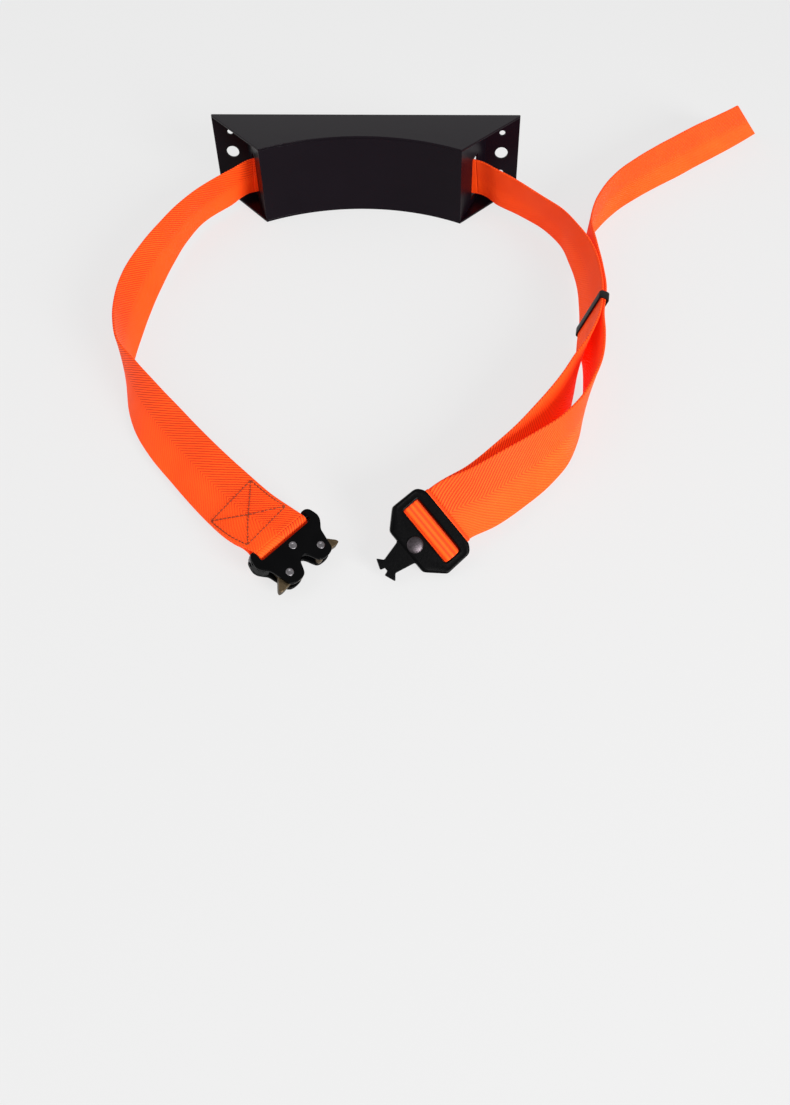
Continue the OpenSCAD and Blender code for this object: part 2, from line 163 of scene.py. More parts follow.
def soft_lamp(name, at, towards, size, watts, spread=180.0):
    """A square area lamp at one point, turned to face another; its beam spreads in degrees."""
    lamp = bpy.data.lights.new(name, "AREA")
    lamp.shape = "SQUARE"
    lamp.size = size
    lamp.energy = watts
    lamp.spread = math.radians(spread)
    thing = bpy.data.objects.new(name, lamp)
    thing.location = at
    thing.rotation_euler = (Vector(towards) - Vector(at)).to_track_quat("-Z", "Y").to_euler()
    bpy.context.scene.collection.objects.link(thing)


middle = (0.0, -0.2, 0.0)
soft_lamp("key_lamp", (1.6, -2.0, 0.9), middle, 1.0, 27.0, spread=100.0)
soft_lamp("fill_lamp", (-1.3, -0.7, 1.3), middle, 1.4, 9.0)
soft_lamp("back_lamp", (0.1, 1.3, 1.1), middle, 1.2, 0.8)

# ---------------------------------------------------------------------------
# Bracket: one bent strip of 2 mm steel for the cradle front, side walls and
# wall flanges, with a plate welded on above and below, powder-coated black.
# ---------------------------------------------------------------------------
def grain(tree, scale, detail, roughness=0.5):
    """Noise on the object's own coordinates, as a socket from 0 to 1."""
    place = wire(tree, "ShaderNodeTexCoord")
    noise = wire(tree, "ShaderNodeTexNoise",
                 {"Scale": scale, "Detail": detail, "Roughness": roughness},
                 {"Vector": place.outputs["Object"]})
    return noise.outputs["Fac"]


def coloured(tree, shader, factor, dark, light):
    """The shader's colour goes from dark to light with a factor."""
    tree.links.new(mixed(tree, factor, dark, light), shader.inputs["Base Color"])


def roughened(tree, shader, factor, by, least):
    """The shader's roughness is least + by * factor."""
    rough = math_node(tree, "MULTIPLY_ADD", factor, by, least)
    tree.links.new(rough, shader.inputs["Roughness"])


def dimpled(tree, shader, height, strength, distance):
    """The shader's normal follows a height, of a distance in metres, at a strength."""
    bump = wire(tree, "ShaderNodeBump", {"Strength": strength, "Distance": distance},
                {"Height": height})
    tree.links.new(bump.outputs[0], shader.inputs["Normal"])


coat, tree, shader = new_material("powder_coat")
peel = grain(tree, 900.0, 3.0, 0.6)
cloud = grain(tree, 14.0, 4.0, 0.6)
shader.inputs["Specular IOR Level"].default_value = 0.09
coloured(tree, shader, cloud, (0.0026, 0.0012, 0.0028, 1), (0.0052, 0.0028, 0.0056, 1))
roughened(tree, shader, cloud, 0.12, 0.26)
dimpled(tree, shader, peel, 0.25, 0.00012)


def softened(name, node, body, material, radius):
    """A copy of a CAD node's mesh with its doubles merged and its flat faces joined,
    whose edges sharper than 28 degrees are then rounded to a radius in two steps."""
    mesh = nodes[node].data.copy()
    mesh.name = name
    thing = bpy.data.objects.new(name, mesh)
    bpy.context.scene.collection.objects.link(thing)
    work = bmesh.new()
    work.from_mesh(mesh)
    bmesh.ops.remove_doubles(work, verts=work.verts, dist=1e-6)
    bmesh.ops.dissolve_limit(work, angle_limit=math.radians(0.5), verts=work.verts,
                             edges=work.edges)
    work.to_mesh(mesh)
    work.free()
    mesh.materials.clear()
    mesh.materials.append(material)
    mesh.polygons.foreach_set("use_smooth", [True] * len(mesh.polygons))
    rounding = thing.modifiers.new("rounding", "BEVEL")
    rounding.width = radius
    rounding.segments = 2
    rounding.limit_method = "ANGLE"
    rounding.angle_limit = math.radians(28.0)
    weights = thing.modifiers.new("weights", "WEIGHTED_NORMAL")
    weights.weight = 100
    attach(thing, body)
    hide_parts(node)


for part, radius in (("bent_band", 0.0005), ("top_plate", 0.0004), ("bottom_plate", 0.0004)):
    softened("bracket_" + part, part, "bracket", coat, radius)


def dressed(node, material):
    """A CAD node that keeps its own mesh and gets a material."""
    thing = nodes[node]
    for socket in thing.material_slots:
        socket.link = "OBJECT"
        socket.material = material


dressed("weld_beads", coat)

# ---------------------------------------------------------------------------
# Strap: one length of 38 mm polyester webbing, a herringbone twill 1.8 mm thick,
# that runs from the female buckle through both slots of the bracket to the
# adjuster and back. Each row is x, y, height (mm) and lean (degrees).
# ---------------------------------------------------------------------------
web_wide, web_thick = 0.038, 0.0018
main_rows = np.array([
    [-43, -404, 18.5, 168], [-65, -382, 16, 152], [-86, -360, 16.5, 143], [-106, -338, 17.5, 139],
    [-124, -316, 19, 127], [-140, -292, 20, 109], [-153, -267, 19.5, 90], [-159, -239, 19.5, 76],
    [-162, -210, 19.5, 67], [-162, -182, 20, 65], [-158, -153, 21.5, 72], [-152, -125, 23, 82],
    [-144, -98, 24.5, 91], [-132, -71, 25.3, 99], [-114.5, -47, 25.3, 100], [-97, -27, 26.1, 103],
    [-62, -20, 25.4, 92], [0, -19, 25.4, 90], [62, -20, 25.4, 92], [97, -27, 26.1, 102],
    [114.5, -43, 25.3, 98], [133, -60.5, 25, 101], [150, -80, 24.5, 103], [164, -101, 24, 96],
    [172.5, -125, 23.5, 86], [178.5, -149, 22.5, 77], [180, -175, 22, 72], [179, -200, 21.8, 70],
    [175, -225, 21.6, 70], [169, -250, 20.5, 79], [161, -274, 19.5, 92], [152, -298, 19.5, 102],
    [141, -321, 19, 114], [128, -343, 18, 124], [113, -363, 17.5, 132], [97, -382, 18, 138]], float)
tail_rows = np.array([
    [382, 121, 19.8, 101], [360, 100, 19.8, 101], [338, 78, 19.9, 101], [316, 58, 20, 102],
    [295, 40, 20, 104], [274, 21, 19.5, 104], [253, 2, 19.5, 101], [233, -18, 19.5, 98],
    [215, -39, 19.5, 95], [200, -63, 19.5, 91], [189, -88, 20, 86], [183, -116, 21, 84],
    [182.2, -146, 22.3, 78]], float)
return_rows = np.array([
    [176.5, -249, 20.3, 73], [174, -272, 19.5, 76], [168.5, -295, 19.5, 83], [161, -317, 20, 92],
    [149.5, -338, 20.5, 104], [134, -356, 21, 117], [117, -372, 21.5, 128],
    [98, -388, 21.5, 138]], float)


def turning(x, y, z):
    """The rotation matrix of turns about X, then Y, then Z, in degrees."""
    a, b, c = np.radians((x, y, z))
    about_x = np.array([[1, 0, 0], [0, np.cos(a), -np.sin(a)], [0, np.sin(a), np.cos(a)]])
    about_y = np.array([[np.cos(b), 0, np.sin(b)], [0, 1, 0], [-np.sin(b), 0, np.cos(b)]])
    about_z = np.array([[np.cos(c), -np.sin(c), 0], [np.sin(c), np.cos(c), 0], [0, 0, 1]])
    return about_z @ about_y @ about_x


female_at, female_axes = np.array([-0.0085, -0.4295, base + 0.0155]), turning(0, 22.5, -38)
male_at, male_axes = np.array([0.0578, -0.4226, base + 0.017]), turning(-36.5, 17, 220)
loop_turn = -38
bar_ahead = np.array([np.cos(np.radians(loop_turn)), np.sin(np.radians(loop_turn)), 0])
bar_at = female_at + female_axes @ (-0.0158, 0, -0.0055)
loop_drop = 0.0033


def placed(rows):
    """Rows with heights above the bracket's underside, as metres and degrees."""
    return np.column_stack((rows[:, 0] / 1000, rows[:, 1] / 1000,
                            base + rows[:, 2] / 1000, rows[:, 3]))


def bar_row(ahead_mm, up):
    """A row over or under the female buckle's webbing bar."""
    point = bar_at + bar_ahead * ahead_mm / 1000
    return np.array([[point[0], point[1], point[2] + up, 180.0]])


def male_row(up_mm):
    """A row under the adjuster frame's rear bar."""
    point = male_at + male_axes @ (-0.028, 0, up_mm / 1000)
    return np.array([[*point, 143.5]])


def steer(row, direction):
    """The row past an end, which makes the webbing arrive along a direction."""
    start = placed(row[None])[0]
    return np.array([[*(start[:3] + 0.05 * direction), start[3]]])


def row_at(route, u):
    """The Catmull-Rom curve through the rows p, q, r, s of a route, at row numbers u:
    half of 2q + (r - p) t + (2p - 5q + 4r - s) t^2 + (3q - p - 3r + s) t^3."""
    i = np.clip(np.floor(u).astype(int), 1, len(route) - 3)
    t = (u - i)[:, None]
    p, q, r, s = route[i - 1], route[i], route[i + 1], route[i + 2]
    return 0.5 * (2 * q + (r - p) * t + (2 * p - 5 * q + 4 * r - s) * t * t
                  + (3 * q - p - 3 * r + s) * t ** 3)


def web_frame(route, u):
    """Centre, heading, width direction and face normal of the webbing: the width direction
    is the level side leaned towards up by the row's angle, and the normal is their cross."""
    row = row_at(route, u)
    ahead = row_at(route, u + 0.02)[:, :3] - row_at(route, u - 0.02)[:, :3]
    ahead /= np.linalg.norm(ahead, axis=1, keepdims=True)
    side = np.column_stack((-ahead[:, 1], ahead[:, 0], np.zeros(len(u))))
    side /= np.linalg.norm(side, axis=1, keepdims=True)
    lean = np.radians(row[:, 3:4])
    wide = side * np.cos(lean) + np.cross(ahead, side) * np.sin(lean)
    return row[:, :3], ahead, wide, np.cross(ahead, wide)


def outside(i):
    """A row of the outer layer, 0.6 mm clear of the inner one."""
    at_row = np.array([float(i)])
    centre, _, _, normal = web_frame(main_route, at_row)
    return np.column_stack((centre - normal * 0.0024, row_at(main_route, at_row)[:, 3]))


male_ahead = male_axes[:, 0]
main_route = np.vstack((steer(main_rows[0], bar_ahead), bar_row(0, loop_drop), placed(main_rows),
                        male_row(-8.6), steer(main_rows[-1], male_ahead)))
outer_route = np.vstack((placed(tail_rows), outside(28), outside(29), outside(30),
                         placed(return_rows), male_row(-6.3),
                         steer(return_rows[-1], male_ahead)))
under_rows = np.arange(1.5, 1.5 + 1.31, 0.25)
under_centre, _, _, under_normal = web_frame(main_route, under_rows)
flap_route = np.vstack((bar_row(7, -loop_drop), bar_row(0, -loop_drop),
                        bar_row(-7, 0.0003 - loop_drop),
                        np.column_stack((under_centre + under_normal * 0.0022,
                                         row_at(main_route, under_rows)[:, 3]))))


def waves(tree, along, length):
    """Even ridges from 0 to 1: half of 1 + sin(2 pi along / length)."""
    turns = math_node(tree, "MULTIPLY", along, 2 * math.pi / length)
    return math_node(tree, "MULTIPLY_ADD", math_node(tree, "SINE", turns), 0.5, 0.5)


# The twill's ridges slant away from the middle line both ways, with fine cords along
# the run; painted shade darkens the grooves, strongly on one half of the width and faintly on the
# other.
ridge_length, cord_width = 0.0029, 0.00095
weave, tree, shader = new_material("orange_webbing")
lie = wire(tree, "ShaderNodeUVMap", uv_map="lie")
split = wire(tree, "ShaderNodeSeparateXYZ", links={"Vector": lie.outputs[0]})
run, wide = split.outputs[0], split.outputs[1]
waver = wire(tree, "ShaderNodeTexNoise", {"Scale": 240.0, "Detail": 2.0},
             {"Vector": lie.outputs[0]})
waved = math_node(tree, "MULTIPLY_ADD", waver.outputs["Fac"], 0.0006, run)
from_middle = math_node(tree, "ABSOLUTE", wide)
slant = math_node(tree, "MULTIPLY_ADD", from_middle, 1.5, waved)
twill = waves(tree, slant, ridge_length)
groove = math_node(tree, "POWER", math_node(tree, "SUBTRACT", 1.0, twill), 1.8)
half = wire(tree, "ShaderNodeMapRange",
            {"From Min": -0.006, "From Max": 0.004, "To Min": 0.40, "To Max": 1.0},
            {"Value": wide}, interpolation_type="SMOOTHSTEP")
cords = waves(tree, wide, cord_width)
fuzz = wire(tree, "ShaderNodeTexNoise", {"Scale": 2600.0, "Detail": 2.0},
            {"Vector": lie.outputs[0]})
shade = wire(tree, "ShaderNodeTexNoise", {"Scale": 26.0, "Detail": 3.0},
             {"Vector": lie.outputs[0]})
height = math_node(tree, "ADD", math_node(tree, "MULTIPLY", twill, 0.75),
                   math_node(tree, "MULTIPLY", cords, 0.25))
cloth = mixed(tree, shade.outputs["Fac"], (0.92, 0.070, 0.0020, 1), (1.0, 0.118, 0.007, 1))
# Painted shade: the colour darkens to deep red in the twill's grooves, more on one half of the
# width.
depth = math_node(tree, "MULTIPLY", groove, math_node(tree, "MULTIPLY", half.outputs[0], 0.85))
coloured(tree, shader, depth, cloth, (0.22, 0.004, 0.001, 1))
roughened(tree, shader, fuzz.outputs["Fac"], 0.2, 0.58)
shader.inputs["Specular IOR Level"].default_value = 0.18
shader.inputs["Sheen Weight"].default_value = 0.15
shader.inputs["Sheen Roughness"].default_value = 0.35
shader.inputs["Sheen Tint"].default_value = (1.0, 0.62, 0.42, 1.0)
# Painted light: the webbing glows a faint red of its own, so its shaded faces stay bright red.
shader.inputs["Emission Color"].default_value = (1.0, 0.012, 0.0, 1.0)
shader.inputs["Emission Strength"].default_value = 0.25
dimpled(tree, shader, math_node(tree, "MULTIPLY_ADD", fuzz.outputs["Fac"], 0.25, height),
        0.7, 0.00018)


def web_section():
    """The webbing's section as (across, out), walked once round: a flat strip with round
    edges and a selvedge that is up to a tenth thicker, 2 mm from each edge."""
    edge = web_thick / 2
    flat = np.linspace(-1, 1, 26) * (web_wide / 2 - edge)
    swell = 1 + 0.10 * np.exp(-((np.abs(flat) - web_wide / 2 + 0.002) / 0.0012) ** 2)
    turn = np.linspace(90, -90, 7)[1:-1] * np.pi / 180
    right = np.column_stack((web_wide / 2 - edge + edge * np.cos(turn), edge * np.sin(turn)))
    top = np.column_stack((flat, edge * 0.9 * swell))
    bottom = np.column_stack((flat[::-1], -edge * 0.9 * swell))
    left = np.column_stack((-right[:, 0], right[::-1, 1]))
    return np.vstack((top, right, bottom, left))


def closed_tube(points):
    """Faces of rings x sides points as a closed tube with an end cap at each end."""
    rings, sides = points.shape[:2]
    i, k = np.meshgrid(np.arange(rings - 1), np.arange(sides), indexing="ij")
    a, b = sides * i + k, sides * i + (k + 1) % sides
    walls = np.stack((a, b, b + sides, a + sides), axis=-1).reshape(-1, 4)
    caps = [list(range(sides - 1, -1, -1)), [sides * (rings - 1) + k for k in range(sides)]]
    return points.reshape(-1, 3), walls.tolist() + caps


def piece(name, points, faces, body, material, finish, *replaced, flip=False):
    """A finished piece: its mesh, with its normals turned outwards, its material and body.
    The walls' four-sided faces are shaded smooth, the end caps flat."""
    mesh = bpy.data.meshes.new(name)
    mesh.from_pydata(points.tolist(), [], faces)
    if flip:
        mesh.flip_normals()
    mesh.polygons.foreach_set("use_smooth", [len(p.vertices) == 4 for p in mesh.polygons])
    mesh.materials.append(material)
    thing = bpy.data.objects.new(name, mesh)
    bpy.context.scene.collection.objects.link(thing)
    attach(thing, body)
    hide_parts(*replaced)
    return thing


def lay_map(thing, lengths, across_web, sides):
    """The piece's own map "lie": metres along the webbing and metres across it."""
    mesh = thing.data
    layer = mesh.uv_layers.new(name="lie")
    corner = np.zeros(len(mesh.loops), dtype=int)
    mesh.loops.foreach_get("vertex_index", corner)
    ring, side = corner // sides, corner % sides
    flat = np.column_stack((lengths[np.minimum(ring, len(lengths) - 1)], across_web[side]))
    layer.data.foreach_set("uv", flat.ravel())


ring_step, ripple_height = 0.0012, 0.0001


def webbing(name, route, u0, u1, start, replaced, slant=0.0):
    """Webbing carried along a route: its section, swept ring by ring, with a slow ripple
    of height * sin(s / 17 mm) sin(s / 7.1 mm). start is the length before it, and slant the
    rows by which its upper edge starts later: slant * max(0, 1 - 2t), t from 0 to 1."""
    fine = np.linspace(u0, u1, 400)
    line = row_at(route, fine)[:, :3]
    step = np.concatenate(([0], np.cumsum(np.linalg.norm(np.diff(line, axis=0), axis=1))))
    rings = max(int(step[-1] / ring_step), 8)
    lengths = np.linspace(0, step[-1], rings)
    u = np.interp(lengths, step, fine)
    section = web_section()
    late = np.outer(slant * np.clip(1 - 2 * lengths / step[-1], 0, 1),
                    section[:, 0] / web_wide + 0.5)
    centre, _, wide, normal = web_frame(route, (u[:, None] + late).ravel())
    ripple = ripple_height * np.sin(lengths / 0.017 + start * 31) * np.sin(lengths / 0.0071)
    out_by = (section[None, :, 1] + ripple[:, None]).reshape(-1, 1)
    points = centre + wide * np.tile(section[:, 0], rings)[:, None] - normal * out_by
    spots, faces = closed_tube(points.reshape(rings, len(section), 3))
    thing = piece(name, spots, faces, "bracket", weave, "webbing", replaced, flip=True)
    lay_map(thing, lengths + start, section[:, 0], len(section))


left_slot, right_slot, under_keeper = 16.999, 21.001, 13.994
webbing("webbing_left", main_route, 1.001, left_slot, 0.0, "strap_left_run")
webbing("webbing_middle", main_route, left_slot, right_slot, 0.46, "strap_bracket_run")
webbing("webbing_right", main_route, right_slot, len(main_route) - 2.001, 0.65, "strap_right_run")
webbing("webbing_return", outer_route, under_keeper + 0.001, len(outer_route) - 2.001, 0.37,
        "strap_return_run")
webbing("webbing_tail", outer_route, 1.0, under_keeper, 0.0, "strap_tail", slant=1.0)
webbing("webbing_flap", flap_route, 1.05, len(flap_route) - 2.0, 0.02, "strap_flap")

# The two turns of webbing round the steel bars are the same strip, bent tightly:
# a half turn sewn into the buckle's loop, and the adjuster's turn up through its window.
fold_step = 0.0004


def folded(name, line, axes, at, start, replaced, puckers=0.0, spread=1.0, twilled=1.0):
    """Webbing bent in one plane: each point of the line (a, z) gets the section across it,
    spread by a share and puckered along its run by puckers * sin(s / 0.45 mm) sin(s / 2.1 mm).
    The points are then turned and put in place. The twill runs at its angle at twilled 1 and
    straight across the webbing at 0."""
    line = np.array(line)
    step = np.concatenate(([0], np.cumsum(np.linalg.norm(np.diff(line, axis=0), axis=1))))
    lengths = np.linspace(0, step[-1], max(int(step[-1] / fold_step), 12))
    run = np.column_stack([np.interp(lengths, step, line[:, k]) for k in (0, 1)])
    tangent = np.gradient(run, axis=0)
    tangent /= np.linalg.norm(tangent, axis=1, keepdims=True)
    off = np.column_stack((-tangent[:, 1], tangent[:, 0]))
    section = web_section()
    pleat = puckers * np.sin(lengths / 0.00045) * np.sin(lengths / 0.0021)
    flat = run[:, None] + off[:, None] * (section[None, :, 1:] + pleat[:, None, None])
    across_web = np.broadcast_to(section[None, :, 0] * spread, flat.shape[:2])
    local = np.stack((flat[..., 0], across_web, flat[..., 1]), -1)
    points, faces = closed_tube(local @ axes.T + at)
    thing = piece(name, points, faces, "bracket", weave, "webbing", replaced)
    lay_map(thing, lengths + start, section[:, 0] * twilled, len(section))


half_turn = np.radians(np.linspace(90, -90, 60))
folded("webbing_loop", np.column_stack((np.cos(half_turn), np.sin(half_turn))) * loop_drop,
       turning(0, 0, loop_turn), bar_at, 0.0, "strap_loop")

bend, bend_level = 3.2, -2.5
front_bend = np.radians(np.linspace(-90, 90, 40))
rear_bend = np.radians(np.linspace(90, 180, 20))
adjuster_line = np.vstack((
    [(-28.0, -8.6), (-24, -8.6), (-20, -8.6), (-18, -8.4), (-16, -7.3), (-14, -6.2)],
    np.column_stack((-11.35 + bend * np.cos(front_bend), bend_level + bend * np.sin(front_bend))),
    np.column_stack((-14.0 + bend * np.cos(rear_bend), bend_level + bend * np.sin(rear_bend))),
    [(-17.6, -4.6), (-18.4, -5.8), (-19.7, -6.3), (-24, -6.3), (-28.0, -6.3)]))
folded("webbing_adjuster_turn", adjuster_line / 1000, male_axes, male_at, 0.25, "strap_wrap",
       puckers=0.00022, spread=1.03, twilled=0.0)

# ---------------------------------------------------------------------------
# Box stitching: a square with a cross in it, sewn in dark red bonded thread
# through the webbing and its fold-back, one short raised stitch after another.
# ---------------------------------------------------------------------------
sewing, tree, shader = new_material("dark_red_thread")
ply = grain(tree, 3000.0, 2.0)
coloured(tree, shader, ply, (0.17, 0.022, 0.004, 1), (0.30, 0.050, 0.012, 1))
shader.inputs["Roughness"].default_value = 0.7
shader.inputs["Specular IOR Level"].default_value = 0.3
dimpled(tree, shader, ply, 0.6, 0.0001)

row_length = 0.029  # metres of webbing from one row of the route to the next, here
sew_from, sew_to, sew_side = 1.4, 1.4 + 33 / 29, 0.017
stitch_length, thread_radius = 0.0027, 0.00038


def stitch_line(u0, v0, u1, v1):
    """Centres (row number, across), directions and lengths of the stitches on one line."""
    span = np.array([(u1 - u0) * row_length, v1 - v0])
    whole = np.linalg.norm(span)
    count = max(int(round(whole / stitch_length)), 1)
    f = (np.arange(count) + 0.5) / count
    centres = np.column_stack((u0 + (u1 - u0) * f, v0 + (v1 - v0) * f))
    return centres, np.repeat((span / whole)[None], count, axis=0), np.full(count, whole / count)


corners = [(sew_from, -sew_side), (sew_to, -sew_side), (sew_to, sew_side), (sew_from, sew_side)]
runs = [stitch_line(*corners[k], *corners[(k + 1) % 4]) for k in range(4)]
runs += [stitch_line(*corners[0], *corners[2]), stitch_line(*corners[1], *corners[3])]
spots, heads, lengths = (np.concatenate(part) for part in zip(*runs))


def stitches(centres, directions, lengths, radius):
    """Every stitch at once: a thread that arches out of the face along its length, as
    out(t) = radius * (1.5 cos(pi t / 2) - 0.9), with a round section, t from -1 to 1."""
    rings, sides = 9, 8
    t = np.linspace(-1, 1, rings)
    e = np.linspace(0, 2 * np.pi, sides, endpoint=False)
    slim = (np.sqrt(np.clip(1 - (np.abs(t) ** 6) * 0.75, 0.05, 1)) * radius)[None, :, None]
    along = centres[:, None] + directions[:, None] * np.array([1 / row_length, 1.0]) \
        * (lengths[:, None, None] * 0.49 * t[None, :, None])
    side = np.column_stack((-directions[:, 1], directions[:, 0]))[:, None, None]
    u = along[..., 0][..., None] + side[..., 0] / row_length * slim * np.cos(e)
    v = along[..., 1][..., None] + side[..., 1] * slim * np.cos(e)
    arch = (radius * (1.5 * np.cos(np.pi * t / 2) - 0.9))[None, :, None]
    n = arch + slim * np.sin(e) + np.zeros_like(u)
    centre, _, wide_dir, normal = web_frame(main_route, u.ravel())
    out_by = web_thick / 2 * 0.92 + n.reshape(-1, 1)
    points = centre + wide_dir * v.reshape(-1, 1) - normal * out_by
    each = rings * sides
    _, one = closed_tube(points[:each].reshape(rings, sides, 3))
    faces = [[each * s + k for k in face] for s in range(len(centres)) for face in one]
    return points, faces


points, faces = stitches(spots, heads, lengths, thread_radius)
piece("box_stitches", points, faces, "bracket", sewing, "thread", "box_stitching")

# ---------------------------------------------------------------------------
# Keeper: a moulded black nylon ring, 8 mm wide and open inside, that slides
# along the strap and holds the return layer against the inner one.
# ---------------------------------------------------------------------------
nylon, tree, shader = new_material("black_nylon")
matt = grain(tree, 1500.0, 3.0)
shader.inputs["Specular IOR Level"].default_value = 0.12
coloured(tree, shader, matt, (0.0012, 0.0010, 0.0012, 1), (0.0045, 0.0035, 0.0042, 1))
roughened(tree, shader, matt, 0.25, 0.35)
dimpled(tree, shader, matt, 0.35, 0.0001)


def rounded_loop(half_wide, half_high, corner, per_corner=8):
    """A rectangle with round corners, walked once round: its (y, z) points, each a corner's
    centre plus its radius along the normal, and their outward normals."""
    turn = np.linspace(0, 90, per_corner) * np.pi / 180
    spots, normals = [], []
    for k, (sy, sz) in enumerate(((1, 1), (-1, 1), (-1, -1), (1, -1))):
        angle = turn + k * np.pi / 2
        normal = np.column_stack((np.cos(angle), np.sin(angle)))
        spots.append((sy * (half_wide - corner), sz * (half_high - corner)) + normal * corner)
        normals.append(normal)
    return np.vstack(spots), np.vstack(normals)


def closed_ring(points):
    """Faces of loop x section points that close on themselves both ways."""
    loops, sides = points.shape[:2]
    i, k = np.meshgrid(np.arange(loops), np.arange(sides), indexing="ij")
    j, m = (i + 1) % loops, (k + 1) % sides
    faces = np.stack((sides * i + k, sides * j + k, sides * j + m, sides * i + m), axis=-1)
    return points.reshape(-1, 3), faces.reshape(-1, 4).tolist()


keeper_axes = turning(70, 0, 261)
keeper_at = np.array([0.1777, -0.210, base + 0.0218]) + keeper_axes @ (0, 0, -0.0012)
half_wall = 0.0006
inner, outward = rounded_loop(0.0195, 0.0026, 0.0010)
wall, _ = rounded_loop(0.0040, half_wall, 0.0004, 4)
out_by = half_wall + wall[None, :, 1]
ring_points = np.stack((
    np.broadcast_to(wall[None, :, 0], (len(inner), len(wall))),
    inner[:, None, 0] + outward[:, None, 0] * out_by,
    inner[:, None, 1] + outward[:, None, 1] * out_by), -1)
points, faces = closed_ring(ring_points @ keeper_axes.T + keeper_at)
piece("strap_keeper", points, faces, "keeper", nylon, "keeper_plastic", "keeper")

# ---------------------------------------------------------------------------
# Female buckle: a core between two forged alloy plates, riveted through and
# coated satin black. Its ears carry the bar that the sewn loop turns on.
# ---------------------------------------------------------------------------
alloy, tree, shader = new_material("satin_black_alloy")
cast = grain(tree, 700.0, 4.0, 0.65)
worn = grain(tree, 110.0, 3.0)
shader.inputs["Specular IOR Level"].default_value = 0.04
coloured(tree, shader, worn, (0.0004, 0.0004, 0.0006, 1), (0.0018, 0.0018, 0.0020, 1))
roughened(tree, shader, cast, 0.20, 0.18)
dimpled(tree, shader, cast, 0.35, 0.00015)


def both_sides(half):
    """A closed outline from the half with b >= 0, in millimetres."""
    half = np.array(half, float)
    other = half[::-1][half[::-1, 1] > 0] * (1, -1)
    return np.vstack((half, other))


def eased(outline, radius, steps=4):
    """The outline with each corner cut to a small arc: quadratic curves through points that
    lie the radius, or 40% of the side, from the corner."""
    ahead_pts, back_pts = np.roll(outline, -1, 0), np.roll(outline, 1, 0)
    to_next, to_last = ahead_pts - outline, back_pts - outline
    reach_next = np.minimum(radius / np.linalg.norm(to_next, axis=1), 0.4)[:, None]
    reach_last = np.minimum(radius / np.linalg.norm(to_last, axis=1), 0.4)[:, None]
    start, end = outline + to_last * reach_last, outline + to_next * reach_next
    t = np.linspace(0, 1, steps + 1)[None, :, None]
    curve = (start[:, None] * (1 - t) ** 2 + outline[:, None] * 2 * t * (1 - t)
             + end[:, None] * t ** 2)
    return curve.reshape(-1, 2)


def inset(outline, depth):
    """The outline moved inwards by a depth, along the mean normal of each corner's sides."""
    ahead_pts, back_pts = np.roll(outline, -1, 0), np.roll(outline, 1, 0)

    def unit(d):
        return d / np.maximum(np.linalg.norm(d, axis=1), 1e-9)[:, None]

    def normal(d):
        return unit(np.column_stack((-d[:, 1], d[:, 0])))

    area = np.sum(outline[:, 0] * ahead_pts[:, 1] - ahead_pts[:, 0] * outline[:, 1])
    n = unit(normal(outline - back_pts) + normal(ahead_pts - outline))
    return outline + n * depth * np.sign(area)


def slab(name, outline, z0, z1, edge, axes, at, body, material, finish, replaced, ease):
    """A plate from an outline (a, b) and two levels, in millimetres: its edge is a quarter
    round of the edge radius, above and below, walked as rings; the faces are flat caps."""
    turn = np.linspace(0, 90, 5) * np.pi / 180
    depth = np.concatenate((edge * (1 - np.sin(turn)), edge * (1 - np.cos(turn))))
    level = np.concatenate((z0 + edge * (1 - np.cos(turn)), z1 - edge * (1 - np.sin(turn))))
    shapes = [eased(inset(outline, d), ease) for d in depth]
    rings = [np.column_stack((shape, np.full(len(shape), z))) for shape, z in zip(shapes, level)]
    points, faces = closed_tube(np.array(rings) / 1000)
    thing = piece(name, points @ axes.T + at, faces, body, material, finish, replaced)
    clean = bmesh.new()
    clean.from_mesh(thing.data)
    bmesh.ops.recalc_face_normals(clean, faces=clean.faces)
    clean.to_mesh(thing.data)
    clean.free()
    thing.data.polygons.foreach_set("use_smooth",
                                    [len(p.vertices) == 4 for p in thing.data.polygons])


plate_outline = both_sides([
    (-11.3, 20), (-18.6, 20), (-18.6, 21.6), (-17.2, 23.8), (-14.3, 24.8), (-11, 25.4), (-8, 24.5),
    (-5.5, 22.5), (-3, 20.2), (1, 19.3), (3, 18.8), (9, 17.5), (10.8, 15.5), (11.5, 12.5),
    (11.3, 8.5), (10.3, 6.3), (7.5, 4.8), (4.5, 3.6), (2.4, 2), (1.8, 0)])
for which, under, over in (("top", -2.5, 0), ("bottom", -11, -8.5)):
    slab("buckle_" + which + "_plate", plate_outline, under, over, 0.7, female_axes, female_at,
         "female_buckle", alloy, "buckle_coat", "female_" + which + "_plate", 1.6)
dressed("female_core", alloy)

# ---------------------------------------------------------------------------
# Side latches: two cast bronze-coloured levers in the mouth of the buckle, each
# on its own rivet, pushed shut by a small coil spring.
# ---------------------------------------------------------------------------
bronze, tree, shader = new_material("grainy_bronze")
grit = grain(tree, 1300.0, 4.0, 0.7)
patina = grain(tree, 260.0, 3.0)
shader.inputs["Metallic"].default_value = 1.0
coloured(tree, shader, patina, (0.032, 0.022, 0.011, 1), (0.15, 0.11, 0.065, 1))
roughened(tree, shader, grit, 0.3, 0.30)
dimpled(tree, shader, grit, 0.6, 0.0002)

latch_outline = np.array([
    (-4, 15), (0.6, 12.4), (3.2, 8.9), (8, 6.4), (10.8, 6.8), (11, 9.2), (9, 12), (9.2, 16.5),
    (9.8, 22), (9.2, 24.2), (7.4, 23.8), (2.5, 19.4), (0.5, 17.8), (-4, 17.8)], float)
for side, way in (("left", 1), ("right", -1)):
    slab("side_latch_" + side, latch_outline * (1, way), -8.2, -2.8, 0.5, female_axes, female_at,
         "latch_" + side, bronze, "latch_metal", "latch_" + side, 0.7)

